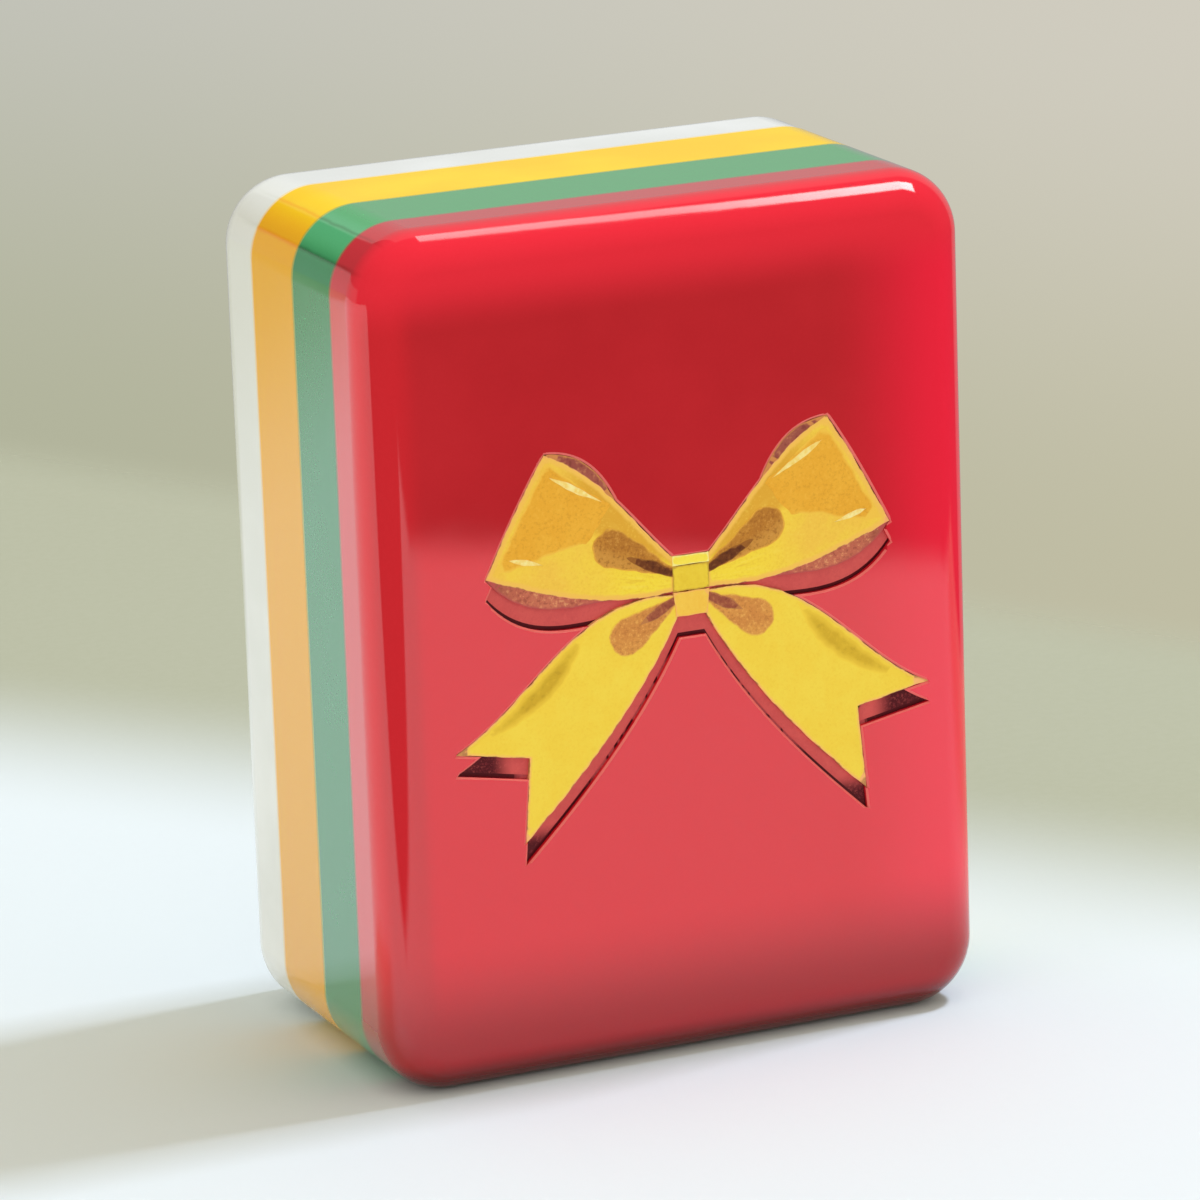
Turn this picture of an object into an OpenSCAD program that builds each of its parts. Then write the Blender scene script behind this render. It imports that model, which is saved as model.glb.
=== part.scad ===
// Mahjong tile: four bonded sheets of coloured acrylic, with a ribbon bow engraved in the face.
// The engraving is filled with paint in several colours.
// It stands on its short edge. The face looks along -Y, +Z is up, and the origin is the middle of the foot.

/* [Tile] */
// Width of the tile
tile_w = 22.5; // [21:0.1:30]
// Height of the tile
tile_h = 30; // [27:0.1:40]
// Depth of the tile from the face to the back
tile_t = 14; // [13:0.1:19]
// Radius of the four corners, seen from the front
corner_r = 2.4; // [2.3:0.05:4]
// Radius of the polished edge round the face
face_edge_r = 1.4; // [0.8:0.05:2.2]
// Radius of the polished edge round the back
back_edge_r = 2.2; // [1:0.05:2.25]

/* [Sheets] */
// Thickness of the red face sheet
face_thick = 2.75; // [2.3:0.05:3.6]
// Thickness of the green sheet
green_thick = 3.35; // [2:0.05:4.4]
// Thickness of the yellow sheet, behind which the white back sheet takes up the rest of the depth
yellow_thick = 3.75; // [2:0.05:4.8]

/* [Engraving] */
// Depth of the engraved pocket in the face
pocket_depth = 0.42; // [0.34:0.02:0.8]
// How far the paint lies below the face
fill_recess = 0.04; // [0.02:0.01:0.1]
// Depth of the second-colour cells in the paint
cell_depth = 0.18; // [0.1:0.01:0.22]
// Thickness of the dark coat on the pocket's floor below the bow
bed_thick = 0.17; // [0.05:0.01:0.3]
// How far the pocket reaches below the bow
shadow_drop = 0.73; // [0.4:0.01:1]
// Width of the dark line along the pocket's lower edge
line_w = 0.14; // [0.06:0.02:0.3]

/* [Bow] */
// Sideways place of the bow's middle on the face
bow_shift = 0.4; // [-0.8:0.05:0.8]
// Height of the knot's middle above the tile's middle
bow_rise = 1.65; // [0:0.05:2.5]
// Plain border left round the loops' amber panels
border_w = 0.2; // [0.1:0.02:0.4]

/* [Loops] */
// Distance of a loop's outer corner from the bow's middle
loop_reach = 7.58; // [6.8:0.02:8.4]
// Height of that corner above the knot's middle
loop_reach_rise = 1.3; // [0.8:0.02:1.8]
// Distance of a loop's top corner from the bow's middle
loop_top = 5.28; // [4.7:0.02:5.8]
// Height of that corner above the knot's middle
loop_top_rise = 5.35; // [4.9:0.01:5.9]
// Height of a loop's upper edge at the knot
loop_root_rise = 1.05; // [0.8:0.01:1.12]
// Depth of a loop's lower edge below the knot's middle, at the knot
loop_root_fall = 0.06; // [0:0.01:0.1]
// Bulge of the ribbon's underside, seen below a loop
under_bulge = 0.9; // [0.6:0.02:1.1]
// Bulge of the ribbon's back, seen above a loop
back_fold_bulge = 0.34; // [0.2:0.01:0.6]

/* [Tails] */
// Distance of a tail's outer tip from the bow's middle
tail_reach = 8.94; // [8.2:0.02:9.5]
// Depth of that tip below the knot's middle
tail_fall = 4.61; // [4.1:0.01:5.1]
// Distance of the notch in a tail's end from the bow's middle
notch_reach = 6.2; // [5.7:0.05:6.6]
// Depth of that notch below the knot's middle
notch_fall = 5.13; // [4.8:0.01:5.7]
// Distance of a tail's lower tip from the bow's middle
tail_end = 6.46; // [6:0.02:7]
// Depth of that tip below the knot's middle
tail_end_fall = 8.12; // [7.2:0.02:8.8]
// Swell of a tail's outer edge close to the knot
tail_swell = 1.02; // [0.7:0.02:1.24]
// Depth of the olive shading along a tail's outer edge
tail_shade_w = 0.63; // [0.4:0.01:1]

/* [Knot] */
// Width of the knot
knot_w = 1.38; // [1:0.02:1.6]
// Width of the knot at its lower end
knot_low_w = 1.2; // [0.8:0.02:1.6]
// Height of the knot above its middle
knot_rise = 1.19; // [1.12:0.01:1.5]
// Depth of the knot below its middle
knot_fall = 0.97; // [0.9:0.01:1.3]
// Height of the bright fold at the top of the knot
knot_fold_h = 0.36; // [0.2:0.01:0.6]
// Depth below the middle at which the lower fold starts
knot_crease = 0.09; // [0.05:0.01:0.3]

/* [Shading] */
// Radius of the round ends of the dark hollows by the knot
hollow_r = 0.7; // [0.4:0.02:0.8]
// Length of a hollow in a loop, from the bow's middle to the middle of its round end
loop_hollow_len = 3.27; // [2.9:0.01:3.6]
// Length of a hollow in a tail, from the bow's middle to the middle of its round end
tail_hollow_len = 2.76; // [2.4:0.01:3]
// Width of the dark crease inside a hollow
crease_w = 0.2; // [0.1:0.02:0.24]
// Width of the pale strokes on a loop
glint_w = 0.22; // [0.1:0.02:0.3]
// Distance from the bow's middle at which an amber panel ends towards the knot
panel_end = 3.84; // [3.4:0.02:4.3]

/* [Hidden] */

$fn = 64;
curve_steps = 9;

// Planes where the sheets meet
front_y = -tile_t / 2;
face_back_y = front_y + face_thick;
green_back_y = face_back_y + green_thick;
yellow_back_y = green_back_y + yellow_thick;
back_y = tile_t / 2;

// Depths below the face at which the paint starts and ends
open_air = -1;
cell_floor = fill_recess + cell_depth;
bed_top = pocket_depth - bed_thick;

// The ribbons run in under the knot by root_tuck, and the underside is under_root_h thick there
root_tuck = 0.11 * knot_w;
under_root_h = 0.095 * knot_rise;
tail_root_step = 0.105 * knot_fall;

// Corners of the right half of the bow, from the knot's middle
knot_x = knot_w / 2;
knot_low_x = knot_low_w / 2;
loop_root_hi = [knot_x - root_tuck, loop_root_rise];
loop_root_lo = [knot_x - root_tuck, -loop_root_fall];
loop_tip = [loop_reach, loop_reach_rise];
loop_peak = [loop_top, loop_top_rise];
tail_root_hi = [knot_x - root_tuck, -loop_root_fall - under_root_h];
tail_root_lo = [knot_low_x - root_tuck, tail_root_step - knot_fall];
tail_tip = [tail_reach, -tail_fall];
tail_notch = [notch_reach, -notch_fall];
tail_low = [tail_end, -tail_end_fall];

// Swells of the ribbon's edges, a third and two thirds of the way along
upper_swell = [0.004, 0.043] * loop_reach;
outer_swell = [0.007, 0.004] * loop_reach;
lower_swell = [0.027, 0.047] * loop_reach;
under_swell = [0.013 * loop_reach, -under_bulge];
back_fold_swell = [0.75, 1] * back_fold_bulge;
tail_outer_swell = [tail_swell, -0.009 * tail_reach];
tail_inner_swell = [0.02, 0.032] * tail_reach;
tail_shade_swell = [0.6, 1] * tail_shade_w;
panel_swell = [0.013, -0.011] * loop_reach;
panel_rise = 0.38 * loop_top_rise;

// Where the back fold and the olive shading start and end, as a share of the edge that they follow
back_fold_start = 0.5;
tail_shade_start = 0.36;
tail_shade_end = 0.95;

// Points of the hollows behind the knot, with the directions of the hollows and of their creases
loop_hollow_root = [0, 0.24 * knot_rise];
loop_hollow_turn = 27;
loop_crease_turn = 24.5;
tail_hollow_root = [0, -0.05 * knot_fall];
tail_hollow_turn = -29;
tail_crease_turn = -27;
crease_share = 0.8;

// Corners of a loop's amber panel
panel_peak = inset_corner(loop_root_hi, loop_peak, loop_tip, border_w);
panel_tip = inset_corner(loop_peak, loop_tip, loop_root_lo, border_w);
panel_inner = [panel_end, panel_rise];
panel_upper = along(loop_root_hi, loop_peak, upper_swell, back_fold_start)
    - border_w * left_of(loop_root_hi, loop_peak);

// The point at share u of the panel's length and share v of its height
function on_panel(u, v) =
    (panel_inner * (1 - u) + panel_tip * u) * (1 - v) + (panel_upper * (1 - u) + panel_peak * u) * v;

// Ends of the two pale strokes on a loop, the fuller end last
upper_glint = [on_panel(0.1, 0.96), on_panel(0.88, 0.91)];
lower_glint = [on_panel(0.42, -0.11), on_panel(0.9, 0.11)];

// The left side of the way from a to b
function left_of(a, b) = [a.y - b.y, b.x - a.x] / norm(b - a);

// The point at share t of a curve from a to b that swells to its left, by swell[0] early and by swell[1] late
function along(a, b, swell, t) =
    a + (b - a) * t + left_of(a, b) * 27 / 4 * t * (1 - t) * (swell[0] * (1 - t) + swell[1] * t);

// Points on that curve without its last one
function swept(a, b, swell, from = 0, to = 1) =
    [for (i = [0 : curve_steps - 1]) along(a, b, swell, from + (to - from) * i / curve_steps)];

// The corner of an outline moved in by w from both of its sides
function inset_corner(before, corner, after, w) =
    let (u = (before - corner) / norm(before - corner), v = (after - corner) / norm(after - corner))
    corner + (u + v) / norm(u + v) * 2 * w / norm(u - v);

// A drop with its point at p and a round end of radius r, whose middle lies len away in the direction turn
function teardrop(p, len, turn, r) =
    let (c = p + len * [cos(turn), sin(turn)], side = 180 - acos(r / len))
    concat([p], [for (i = [0 : 2 * curve_steps])
        let (a = turn - side + side * i / curve_steps)
        c + r * [cos(a), sin(a)]]);

// A brush stroke from a to b, fullest near b
function stroke(a, b, w) = concat(swept(a, b, [w / 4, w / 2]), swept(b, a, [w / 2, w / 4]));

// The polished block that the four sheets are cut from
module edge_profile(length) {
    translate([-length / 2, front_y + face_edge_r])
        square([length, tile_t - face_edge_r - back_edge_r]);
    translate([face_edge_r - length / 2, front_y])
        square([length - 2 * face_edge_r, 2 * face_edge_r]);
    translate([back_edge_r - length / 2, back_y - 2 * back_edge_r])
        square([length - 2 * back_edge_r, 2 * back_edge_r]);
    for (side = [-1, 1]) {
        translate([side * (length / 2 - face_edge_r), front_y + face_edge_r])
            circle(r = face_edge_r);
        translate([side * (length / 2 - back_edge_r), back_y - back_edge_r])
            circle(r = back_edge_r);
    }
}

module corner_post() {
    rotate([-90, 0, 0])
        rotate_extrude()
            intersection() {
                edge_profile(2 * corner_r);
                translate([0, -tile_t / 2])
                    square([corner_r, tile_t]);
            }
}

module block() {
    translate([0, 0, corner_r])
        linear_extrude(tile_h - 2 * corner_r)
            edge_profile(tile_w);
    translate([corner_r - tile_w / 2, 0, tile_h / 2])
        rotate([90, 0, 90])
            linear_extrude(tile_w - 2 * corner_r)
                rotate(-90)
                    edge_profile(tile_h);
    for (x = [-1, 1], z = [corner_r, tile_h - corner_r])
        translate([x * (tile_w / 2 - corner_r), 0, z])
            corner_post();
}

module sheet(from_y, to_y) {
    intersection() {
        block();
        translate([-tile_w, from_y, -tile_h])
            cube([2 * tile_w, to_y - from_y, 3 * tile_h]);
    }
}

// A prism on the face between two depths, drawn from the knot's middle
module inlay(top, floor) {
    translate([bow_shift, front_y + floor, tile_h / 2 + bow_rise])
        rotate([90, 0, 0])
            linear_extrude(floor - top)
                children();
}

// The left half of the bow is the right half mirrored
module on_side(side) {
    if (side == "left")
        mirror([1, 0])
            children();
    else
        children();
}

module loop_shape() {
    polygon(concat(
        swept(loop_root_hi, loop_peak, upper_swell),
        swept(loop_peak, loop_tip, outer_swell),
        swept(loop_tip, loop_root_lo, lower_swell),
        [loop_root_lo]));
}

module underside_shape() {
    polygon(concat(swept(tail_root_hi, loop_tip, under_swell), [loop_tip, loop_root_lo]));
}

module back_fold_shape() {
    start = along(loop_root_hi, loop_peak, upper_swell, back_fold_start);
    polygon(concat(swept(start, loop_peak, back_fold_swell), [loop_peak]));
}

module tail_shape() {
    polygon(concat(
        swept(tail_root_hi, tail_tip, tail_outer_swell),
        [tail_tip, tail_notch],
        swept(tail_low, tail_root_lo, tail_inner_swell),
        [tail_root_lo]));
}

module knot_shape() {
    polygon([
        [-knot_x, knot_rise], [knot_x, knot_rise], [knot_x, -knot_crease],
        [knot_low_x, -knot_fall], [-knot_low_x, -knot_fall], [-knot_x, -knot_crease]]);
}

module bow_shape() {
    knot_shape();
    for (side = ["left", "right"])
        on_side(side) {
            loop_shape();
            underside_shape();
            back_fold_shape();
            tail_shape();
        }
}

// The bow moved straight down
module dropped_bow(drop) {
    translate([0, -drop])
        bow_shape();
}

module pocket_shape() {
    bow_shape();
    dropped_bow(shadow_drop);
}

// Second-colour cells in a loop and in a tail
module panel_shape() {
    polygon(concat([panel_peak], swept(panel_tip, panel_inner, panel_swell), [panel_inner, panel_upper]));
}

module hollow_shape(root, len, turn) {
    difference() {
        polygon(teardrop(root, len, turn, hollow_r));
        knot_shape();
    }
}

module loop_hollow_shape() {
    hollow_shape(loop_hollow_root, loop_hollow_len, loop_hollow_turn);
}

module tail_hollow_shape() {
    hollow_shape(tail_hollow_root, tail_hollow_len, tail_hollow_turn);
}

// A dark brush stroke from under the knot into a hollow
module crease_shape(root, len, turn) {
    difference() {
        polygon(stroke(root, root + len * crease_share * [cos(turn), sin(turn)], crease_w));
        knot_shape();
    }
}

module loop_crease_shape() {
    crease_shape(loop_hollow_root, loop_hollow_len, loop_crease_turn);
}

module tail_crease_shape() {
    crease_shape(tail_hollow_root, tail_hollow_len, tail_crease_turn);
}

module glints_shape() {
    for (ends = [upper_glint, lower_glint])
        polygon(stroke(ends[0], ends[1], glint_w));
}

module tail_shade_shape() {
    border = border_w / 2 * left_of(tail_root_hi, tail_tip);
    root = tail_root_hi - border;
    tip = tail_tip - border;
    start = along(root, tip, tail_outer_swell, tail_shade_start);
    end = along(root, tip, tail_outer_swell, tail_shade_end);
    polygon(concat(
        swept(root, tip, tail_outer_swell, tail_shade_start, tail_shade_end),
        swept(end, start, tail_shade_swell)));
}

module loop_cells() {
    panel_shape();
    loop_hollow_shape();
    glints_shape();
}

module tail_cells() {
    tail_hollow_shape();
    tail_shade_shape();
}

// Sheets of the tile
module back_layer() {
    color("#f4f4ea")
        sheet(yellow_back_y, back_y);
}

module yellow_layer() {
    color("#fcd84a")
        sheet(green_back_y, yellow_back_y);
}

module green_layer() {
    color("#3f9a68")
        sheet(face_back_y, green_back_y);
}

module face_layer() {
    color("#c92c36")
        difference() {
            sheet(front_y, face_back_y);
            inlay(open_air, pocket_depth)
                pocket_shape();
        }
}

// Dark coat on the pocket's floor below the bow, and the line along its lower edge
module shadow_bed() {
    color("#a5404a")
        inlay(bed_top, pocket_depth)
            difference() {
                dropped_bow(shadow_drop - line_w);
                bow_shape();
            }
}

module shadow_line() {
    color("#4a0812")
        inlay(bed_top, pocket_depth)
            difference() {
                dropped_bow(shadow_drop);
                dropped_bow(shadow_drop - line_w);
                bow_shape();
            }
}

// Paint fills of a loop
module loop(side) {
    color("#f3cf42")
        difference() {
            inlay(fill_recess, pocket_depth)
                on_side(side)
                    difference() {
                        loop_shape();
                        knot_shape();
                    }
            inlay(open_air, cell_floor)
                on_side(side)
                    loop_cells();
        }
}

module loop_panel(side) {
    color("#e6a932")
        inlay(fill_recess, cell_floor)
            on_side(side)
                difference() {
                    panel_shape();
                    loop_hollow_shape();
                    glints_shape();
                }
}

module loop_hollow(side) {
    color("#b07f2c")
        inlay(fill_recess, cell_floor)
            on_side(side)
                difference() {
                    loop_hollow_shape();
                    loop_crease_shape();
                }
}

module loop_crease(side) {
    color("#7c3f18")
        inlay(fill_recess, cell_floor)
            on_side(side)
                loop_crease_shape();
}

module loop_glints(side) {
    color("#fff0b4")
        inlay(fill_recess, cell_floor)
            on_side(side)
                glints_shape();
}

module loop_underside(side) {
    color("#a5603c")
        inlay(fill_recess, pocket_depth)
            on_side(side)
                difference() {
                    underside_shape();
                    loop_shape();
                    tail_shape();
                    knot_shape();
                }
}

module loop_back_fold(side) {
    color("#8c4030")
        inlay(fill_recess, pocket_depth)
            on_side(side)
                difference() {
                    back_fold_shape();
                    loop_shape();
                }
}

// Paint fills of a tail
module tail(side) {
    color("#f6d63a")
        difference() {
            inlay(fill_recess, pocket_depth)
                on_side(side)
                    difference() {
                        tail_shape();
                        knot_shape();
                    }
            inlay(open_air, cell_floor)
                on_side(side)
                    tail_cells();
        }
}

module tail_shade(side) {
    color("#d8b22c")
        inlay(fill_recess, cell_floor)
            on_side(side)
                tail_shade_shape();
}

module tail_hollow(side) {
    color("#d39a4c")
        inlay(fill_recess, cell_floor)
            on_side(side)
                difference() {
                    tail_hollow_shape();
                    tail_crease_shape();
                }
}

module tail_crease(side) {
    color("#a85a3a")
        inlay(fill_recess, cell_floor)
            on_side(side)
                tail_crease_shape();
}

// The part of the knot between two heights
module knot_slice(from_z, to_z) {
    inlay(fill_recess, pocket_depth)
        intersection() {
            knot_shape();
            translate([-knot_w, from_z])
                square([2 * knot_w, to_z - from_z]);
        }
}

module knot_upper_fold() {
    color("#fae36a")
        knot_slice(knot_rise - knot_fold_h, knot_rise);
}

module knot_band() {
    color("#eccb2e")
        knot_slice(-knot_crease, knot_rise - knot_fold_h);
}

module knot_lower_fold() {
    color("#f0c04a")
        knot_slice(-knot_fall, -knot_crease);
}

back_layer();
yellow_layer();
green_layer();
face_layer();
shadow_bed();
shadow_line();
loop("left");  // left_loop
loop("right");  // right_loop
loop_panel("left");  // left_loop_panel
loop_panel("right");  // right_loop_panel
loop_hollow("left");  // left_loop_hollow
loop_hollow("right");  // right_loop_hollow
loop_crease("left");  // left_loop_crease
loop_crease("right");  // right_loop_crease
loop_glints("left");  // left_loop_glints
loop_glints("right");  // right_loop_glints
loop_underside("left");  // left_loop_underside
loop_underside("right");  // right_loop_underside
loop_back_fold("left");  // left_loop_back_fold
loop_back_fold("right");  // right_loop_back_fold
tail("left");  // left_tail
tail("right");  // right_tail
tail_shade("left");  // left_tail_shade
tail_shade("right");  // right_tail_shade
tail_hollow("left");  // left_tail_hollow
tail_hollow("right");  // right_tail_hollow
tail_crease("left");  // left_tail_crease
tail_crease("right");  // right_tail_crease
knot_upper_fold();
knot_band();
knot_lower_fold();
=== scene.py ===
"""A mahjong tile: four bonded acrylic sheets, rounded and polished, with a ribbon bow inlaid in the red face."""

import math

import bpy
import numpy as np
from mathutils import Matrix, Vector, noise


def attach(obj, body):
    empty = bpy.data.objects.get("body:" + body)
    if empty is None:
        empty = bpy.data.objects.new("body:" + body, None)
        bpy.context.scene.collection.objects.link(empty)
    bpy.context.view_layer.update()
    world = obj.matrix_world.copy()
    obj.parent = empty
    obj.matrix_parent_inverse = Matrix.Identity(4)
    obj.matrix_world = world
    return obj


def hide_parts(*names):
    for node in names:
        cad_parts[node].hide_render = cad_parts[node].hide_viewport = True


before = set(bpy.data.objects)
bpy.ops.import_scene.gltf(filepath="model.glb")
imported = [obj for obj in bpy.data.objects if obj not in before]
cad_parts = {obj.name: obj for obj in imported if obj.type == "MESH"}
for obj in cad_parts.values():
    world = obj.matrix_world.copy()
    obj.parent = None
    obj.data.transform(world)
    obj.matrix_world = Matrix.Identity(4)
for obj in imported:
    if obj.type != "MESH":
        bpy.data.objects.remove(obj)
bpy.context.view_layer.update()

MM = 0.001

# Sizes of the tile in millimetres, as in the part's source
TILE_W = 22.5
TILE_H = 30.0
TILE_T = 14.0
CORNER_R = 2.4
FACE_EDGE_R = 1.4
BACK_EDGE_R = 2.2
FACE_SHEET_T = 2.75
GREEN_SHEET_T = 3.35
YELLOW_SHEET_T = 3.75
FRONT_Y = -TILE_T / 2
FACE_BACK_Y = FRONT_Y + FACE_SHEET_T
GREEN_BACK_Y = FACE_BACK_Y + GREEN_SHEET_T
YELLOW_BACK_Y = GREEN_BACK_Y + YELLOW_SHEET_T
BACK_Y = TILE_T / 2
CORNER_STEPS = 28
EDGE_STEPS = 24
SMOOTH_ANGLE = math.radians(30)

# The bow's place on the face, and depths below the face
BOW_X = 0.4
BOW_Z = TILE_H / 2 + 1.65
POCKET_DEPTH = 0.42
BED_TOP = 0.17
SHADOW_DROP = 0.73
LINE_W = 0.14
BORDER_W = 0.2
RIM_R = 0.045
FLARE = 1.7
CURVE_STEPS = 28

# Depths of the paints below the face
LINE_TOP = BED_TOP + 0.012
UNDERSIDE_TOP = 0.058
RIBBON_TOP = 0.05
PANEL_TOP = 0.044
HOLLOW_TOP = 0.04
GLINT_TOP = 0.038
GLINT_FLOOR = 0.2
CREASE_TOP = 0.036
KNOT_BAND_TOP = 0.026
KNOT_LOWER_TOP = 0.024
KNOT_UPPER_TOP = 0.02

# How unsteady the hand is that cuts the outlines
HAND_STEP = 0.09
HAND_WAVES = 2.6

# The photograph's viewpoint
CAMERA_PLACE = (-0.093003, -0.210912, 0.076948)
CAMERA_RIGHT = Vector((0.91057773, -0.41192251, -0.03417656))
CAMERA_DOWN = Vector((-0.13766522, -0.22427255, -0.96475391))
CAMERA_LENS = 205.099
CAMERA_SENSOR = 36.0


def srgb(red, green, blue):
    """The linear colour of screen values from 0 to 255."""
    def linear(value):
        value /= 255
        return value / 12.92 if value <= 0.04045 else ((value + 0.055) / 1.055) ** 2.4
    return (linear(red), linear(green), linear(blue), 1.0)


class Sock:
    """A shader socket that takes part in sums. Each sign adds one Math node."""

    def __init__(self, finish, socket):
        self.finish = finish
        self.socket = socket

    def sum(self, operation, *terms):
        return self.finish.add("ShaderNodeMath", {"operation": operation}, dict(enumerate(terms)))

    def __add__(self, other):
        return self.sum("ADD", self, other)

    def __radd__(self, other):
        return self.sum("ADD", other, self)

    def __sub__(self, other):
        return self.sum("SUBTRACT", self, other)

    def __rsub__(self, other):
        return self.sum("SUBTRACT", other, self)

    def __mul__(self, other):
        return self.sum("MULTIPLY", self, other)

    def __rmul__(self, other):
        return self.sum("MULTIPLY", other, self)

    def __truediv__(self, other):
        return self.sum("DIVIDE", self, other)

    def __pow__(self, other):
        return self.sum("POWER", self, other)

    def __abs__(self):
        return self.sum("ABSOLUTE", self)

    def least(self, other):
        return self.sum("MINIMUM", self, other)

    def most(self, other):
        return self.sum("MAXIMUM", self, other)

    def rise(self, low, high):
        """0 at low and beyond, 1 at high and beyond, with a soft change between them. High may be the smaller."""
        return self.finish.add(
            "ShaderNodeMapRange", {"interpolation_type": "SMOOTHSTEP"},
            {"Value": self, "From Min": low, "From Max": high})

    def band(self, start, end, soft):
        """1 between start and end, 0 outside them, with soft sides."""
        return self.rise(start - soft, start + soft) * self.rise(end + soft, end - soft)


class Finish:
    """A material or world, built node by node."""

    def __init__(self, owner):
        self.owner = owner
        owner.use_nodes = True
        self.tree = owner.node_tree
        self.tree.nodes.clear()

    def add(self, kind, settings=None, inputs=None, out=0):
        node = self.tree.nodes.new(kind)
        for key, value in (settings or {}).items():
            setattr(node, key, value)
        for key, value in (inputs or {}).items():
            if isinstance(value, Sock):
                self.tree.links.new(value.socket, node.inputs[key])
            else:
                node.inputs[key].default_value = value
        return Sock(self, node.outputs[out]) if len(node.outputs) else node

    def also(self, sock, name):
        """Another output of a socket's node."""
        return Sock(self, sock.socket.node.outputs[name])

    def mix(self, share, first, second, blend="MIX"):
        return self.add(
            "ShaderNodeMix", {"data_type": "RGBA", "blend_type": blend},
            {0: share, 6: first, 7: second}, out=2)

    def millimetres(self):
        """Object coordinates in millimetres."""
        place = self.add("ShaderNodeTexCoord", out="Object")
        return self.add("ShaderNodeVectorMath", {"operation": "SCALE"}, {"Vector": place, "Scale": 1 / MM})

    def turned(self, place, turn, stretch):
        """Coordinates turned in the face's plane and stretched."""
        return self.add(
            "ShaderNodeMapping", {"vector_type": "POINT"},
            {"Vector": place, "Rotation": (0, turn, 0), "Scale": stretch})

    def split(self, vector):
        x = self.add("ShaderNodeSeparateXYZ", None, {"Vector": vector})
        return x, self.also(x, "Y"), self.also(x, "Z")

    def joined(self, x, y, z):
        return self.add("ShaderNodeCombineXYZ", None, {0: x, 1: y, 2: z})

    def along(self, vector, direction):
        return self.add(
            "ShaderNodeVectorMath", {"operation": "DOT_PRODUCT"}, {0: vector, 1: direction}, out="Value")

    def noise(self, vector, scale, detail=2.0, rough=0.5):
        return self.add(
            "ShaderNodeTexNoise", {"noise_dimensions": "3D"},
            {"Vector": vector, "Scale": scale, "Detail": detail, "Roughness": rough})

    def bump(self, height, strength, distance, under=None):
        inputs = {"Height": height, "Strength": strength, "Distance": distance}
        if under is not None:
            inputs["Normal"] = under
        return self.add("ShaderNodeBump", None, inputs)

    def close(self, shader, kind="ShaderNodeOutputMaterial"):
        self.add(kind, None, {"Surface": shader})
        return self.owner


def new_finish(name):
    return Finish(bpy.data.materials.new(name))


# Finishes of the sheets

WHITE = srgb(252, 253, 250)
YELLOW = srgb(254, 216, 26)
GREEN = srgb(36, 146, 88)
RED = srgb(199, 36, 45)


def acrylic(name, colour, deep, seams, gloss, coat, side_coat, shades=None):
    """Polished cast acrylic with faint clouds, smeared gloss, soft glue lines, two painted reflection lines on a
    corner, a painted highlight on the pocket's rim, and each sheet's painted light and shade.
    """
    f = new_finish(name)
    place = f.millimetres()
    x, y, z = f.split(place)
    cloud = f.noise(place, 0.16, 3.0, 0.55)
    grain = f.noise(place, 9.0, 2.0, 0.6)
    body = f.mix(cloud.rise(0.35, 0.7), deep, colour)
    # Painted light and shade of the sheet, laid on by place
    for mask, tone in shades(x, y, z) if shades else ():
        body = f.mix(mask, body, srgb(*tone))
    body = f.mix(grain.rise(0.35, 0.75) * 0.05, body, (1.0, 1.0, 1.0, 1.0), "SOFT_LIGHT")
    # Painted highlight: the pocket's sloped rim is painted a light pink
    rim = f.add("ShaderNodeAttribute", {"attribute_name": "rim"}, out="Fac")
    body = f.mix(rim * (0.45 + cloud * 0.5), body, srgb(240, 118, 110))
    for seam_y, neighbour in seams:
        glue = abs(y - seam_y) + (f.noise(place, 1.3) - 0.5) * 0.04
        body = f.mix(glue.rise(0.13, 0.0) * 0.5, body, neighbour)
    # Painted reflections: two dark lines lie along the upper left corner, at two leans as seen from the middle of its
    # rounding
    right = x + (TILE_W / 2 - CORNER_R)
    above = z - (TILE_H - CORNER_R)
    lean = above / (right * right + above * above + 1e-6) ** 0.5
    lean = lean + (f.noise(place, 0.9, 2.0, 0.5) - 0.5) * 0.03
    lines = (lean.band(0.455, 0.495, 0.035) * 0.75).most(lean.band(0.842, 0.862, 0.016) * 0.6)
    lines = lines * right.rise(0.0, -0.24) * y.rise(-6.5, -5.0) * y.rise(5.5, 2.5)
    body = f.mix(lines, body, deep, "MULTIPLY")
    smear = f.noise(f.turned(place, turn=0.6, stretch=(0.5, 0.5, 1.6)), 0.7, 4.0, 0.6)
    polish = f.noise(place, 0.35, 2.0, 0.4)
    pits = f.noise(place, 14.0, 2.0, 0.5)
    relief = f.bump(polish, 0.05, 0.12 * MM)
    relief = f.bump(pits, 0.005, 0.01 * MM, relief)
    left_side = x.rise(-9.5, -11)
    glaze = (coat + left_side * (side_coat - coat)) * z.rise(-0.5, 4).most(left_side * z.rise(0.6, 2.0))
    shader = f.add("ShaderNodeBsdfPrincipled", None, {
        "Base Color": body,
        "Roughness": 0.045 + smear.rise(0.45, 0.8) * 0.04 + rim * 0.45,
        "IOR": 1.49,
        "Specular IOR Level": gloss,
        "Coat Weight": glaze * x.rise(11.4, 10.2) * (1 - rim),
        "Coat Roughness": 0.05,
        "Coat IOR": 1.5,
        "Normal": relief,
    })
    return f.close(shader)


def yellow_painted_shade(x, y, z):
    """Painted shade: the yellow sheet is painted more orange on its shaded left side."""
    return [(x.rise(-9.9, -10.9), (255, 184, 16))]


def green_painted_light(x, y, z):
    """Painted light: the green sheet is painted lighter on top and in the lit part of its left corner."""
    return [(z.rise(28.6, 29.6), (46, 177, 94)), (z.rise(28.5, 29.3) * x.rise(-9.5, -10.1), (84, 188, 124))]


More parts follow.
